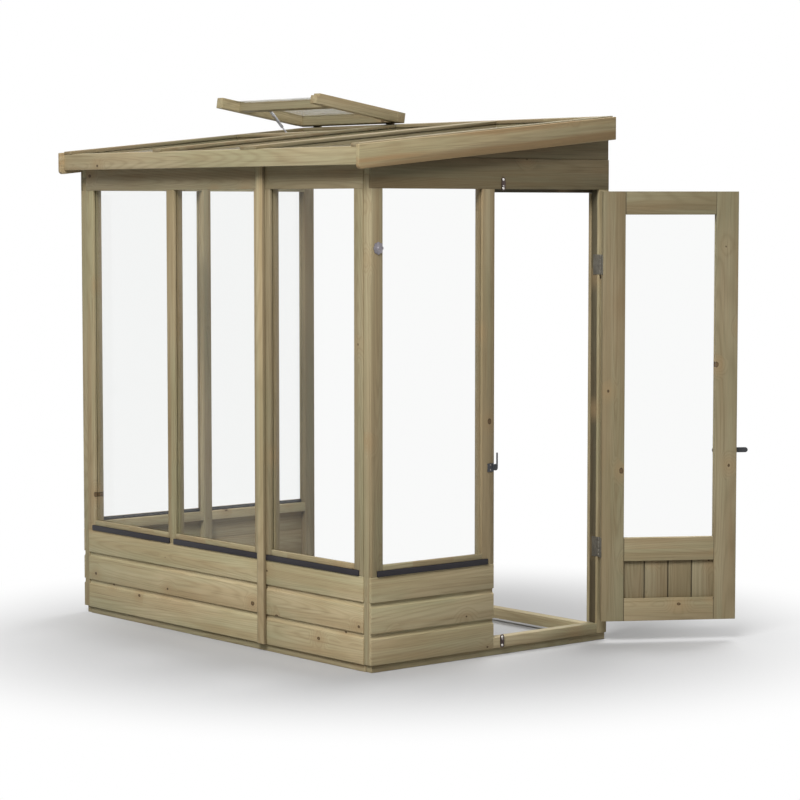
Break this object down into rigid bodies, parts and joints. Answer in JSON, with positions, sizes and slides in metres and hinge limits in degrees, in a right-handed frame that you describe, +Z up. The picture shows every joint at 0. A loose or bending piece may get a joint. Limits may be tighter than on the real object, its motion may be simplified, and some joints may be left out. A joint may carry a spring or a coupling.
{
  "type": "lean-to greenhouse",
  "caption": "Timber lean-to greenhouse with a boarded base, glazed front, gables and roof, an outward-opening door in one gable and a hinged roof vent on a telescopic stay.",
  "frame": {"origin": "floor level, in the plane of the house wall, midway between the gables", "axes": "+X to the right seen from the front, towards the gable with the door; +Y into the house wall, so the low front faces -Y; +Z up"},
  "size_m": [2.1875, 1.6563, 2.0769],
  "materials": {
    "frame_wood": "sawn, treated",
    "board_wood": "planed, treated",
    "bearer_wood": "sawn, treated",
    "strip_wood": "planed, treated",
    "roof_wood": "planed, treated",
    "door_wood": "planed, treated",
    "glass": "clear",
    "black_plastic": "satin",
    "zinc": "bright zinc",
    "black_iron": "satin black",
    "stay_metal": "drawn, satin"
  },
  "bodies": {
    "greenhouse": {"front_uprights": "frame_wood", "front_rails": "frame_wood", "right_posts": "frame_wood", "right_rails": "frame_wood", "left_posts": "frame_wood", "left_rails": "frame_wood", "front_cladding": "board_wood", "right_cladding": "board_wood", "left_cladding": "board_wood", "front_head_boards": "board_wood", "right_boards": "board_wood", "left_boards": "board_wood", "bearers": "bearer_wood", "floor_rail": "bearer_wood", "wall_plate": "bearer_wood", "eaves_plate": "bearer_wood", "right_plate": "bearer_wood", "left_plate": "bearer_wood", "threshold": "bearer_wood", "door_stops": "bearer_wood", "stay_rail": "bearer_wood", "front_strips": "strip_wood", "front_cover_strip": "strip_wood", "right_strips": "strip_wood", "left_strips": "strip_wood", "roof_bars": "roof_wood", "roof_rails": "roof_wood", "roof_strips": "roof_wood", "barge_boards": "roof_wood", "eaves_board": "roof_wood", "front_glass": "glass", "gable_glass": "glass", "roof_glass": "glass", "drip_strips": "black_plastic", "stay_bracket": "zinc", "vent_hinge_leaves": "zinc", "post_hinge_leaves": "zinc", "keep_screws": "zinc", "button_screws": "zinc", "corner_rose": "zinc", "latch_keep": "black_iron"},
    "door": {"door_stiles": "door_wood", "door_rails": "door_wood", "door_panel": "door_wood", "door_glass": "glass", "door_beads": "door_wood", "door_hinge_leaves": "zinc", "latch_plate": "black_iron", "latch_screws": "zinc"},
    "latch_bar": {"latch_bar": "black_iron"},
    "turn_button_top": {"turn_button_top": "zinc"},
    "turn_button_bottom": {"turn_button_bottom": "zinc"},
    "vent": {"vent_side_rails": "roof_wood", "vent_cross_rails": "roof_wood", "vent_glass": "glass", "vent_leaves": "zinc", "vent_bracket": "zinc"},
    "stay_tube": {"stay_tube": "stay_metal"},
    "stay_rod": {"stay_rod": "stay_metal"}
  },
  "joints": [
    {"name": "door_hinge", "type": "hinge", "parent": "greenhouse", "child": "door", "pos_m": [0.924, -0.05075, 0.884], "axis": [0, 0, 1], "range_deg": [-148, 27]},
    {"name": "latch_lift", "type": "hinge", "parent": "door", "child": "latch_bar", "pos_m": [1.16011, 0.32144, 0.715], "axis": [0.848, -0.5299, 0], "range_deg": [0, 30]},
    {"name": "button_top_turn", "type": "hinge", "parent": "greenhouse", "child": "turn_button_top", "pos_m": [0.9175, -0.531, 1.70105], "axis": [1, 0, 0], "continuous": true},
    {"name": "button_bottom_turn", "type": "hinge", "parent": "greenhouse", "child": "turn_button_bottom", "pos_m": [0.9175, -0.531, 0.059], "axis": [1, 0, 0], "continuous": true},
    {"name": "vent_hinge", "type": "hinge", "parent": "greenhouse", "child": "vent", "pos_m": [-0.5945, -0.00876, 1.96738], "axis": [-1, 0, 0], "range_deg": [-14.5, 0]},
    {"name": "stay_swing", "type": "hinge", "parent": "vent", "child": "stay_tube", "pos_m": [-0.735, -0.33619, 2.02244], "axis": [-1, 0, 0], "range_deg": [-18, 1]},
    {"name": "stay_slide", "type": "slide", "parent": "stay_tube", "child": "stay_rod", "axis": [0, 0.6908, -0.723], "range_m": [-0.045, 0.001]}
  ],
  "couplings": [
    {"joint": "stay_swing", "follows": "vent_hinge", "ratio": 1.1856},
    {"joint": "stay_slide", "follows": "vent_hinge", "m_per_rad": 0.16603}
  ]
}
